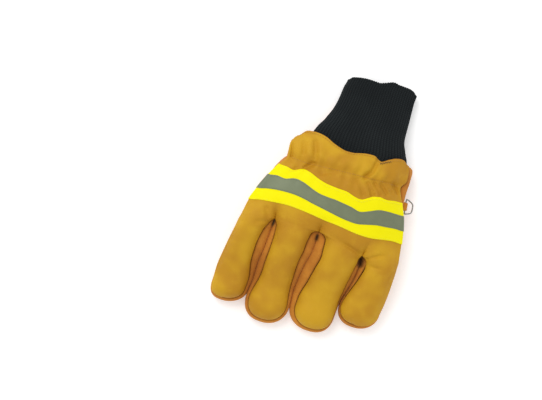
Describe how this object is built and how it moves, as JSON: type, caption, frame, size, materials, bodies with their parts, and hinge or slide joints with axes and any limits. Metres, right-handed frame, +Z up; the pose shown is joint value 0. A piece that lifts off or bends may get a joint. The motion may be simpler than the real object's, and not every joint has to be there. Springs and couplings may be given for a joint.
{
  "type": "firefighter glove",
  "caption": "Structural firefighting glove for a left hand, palm down with the thumb folded under: leather back, suede front, reflective band, knit wristlet and hanging ring.",
  "frame": {"origin": "under the middle of the glove's box, on the surface it lies on", "axes": "+Y from the fingers to the cuff, +Z up through the back of the hand, +X to the outer side with the hanging ring"},
  "size_m": [0.1888, 0.294, 0.0617],
  "materials": {
    "back_leather": "smooth grain",
    "suede": "napped",
    "knit": "rib knit",
    "fluorescent_tape": "woven, fluorescent",
    "reflective_strip": "retroreflective",
    "ring_steel": "drawn wire"
  },
  "bodies": {
    "root": {"back_panel": "back_leather", "index_finger_front": "suede", "middle_finger_front": "suede", "ring_finger_front": "suede", "little_finger_front": "suede", "palm_panel": "suede", "thumb": "suede", "knit_cuff": "knit", "pulse_patch": "suede", "reflective_tape": "fluorescent_tape", "silver_strip": "reflective_strip", "ring_tab": "suede", "steel_ring": "ring_steel"}
  },
  "joints": []
}
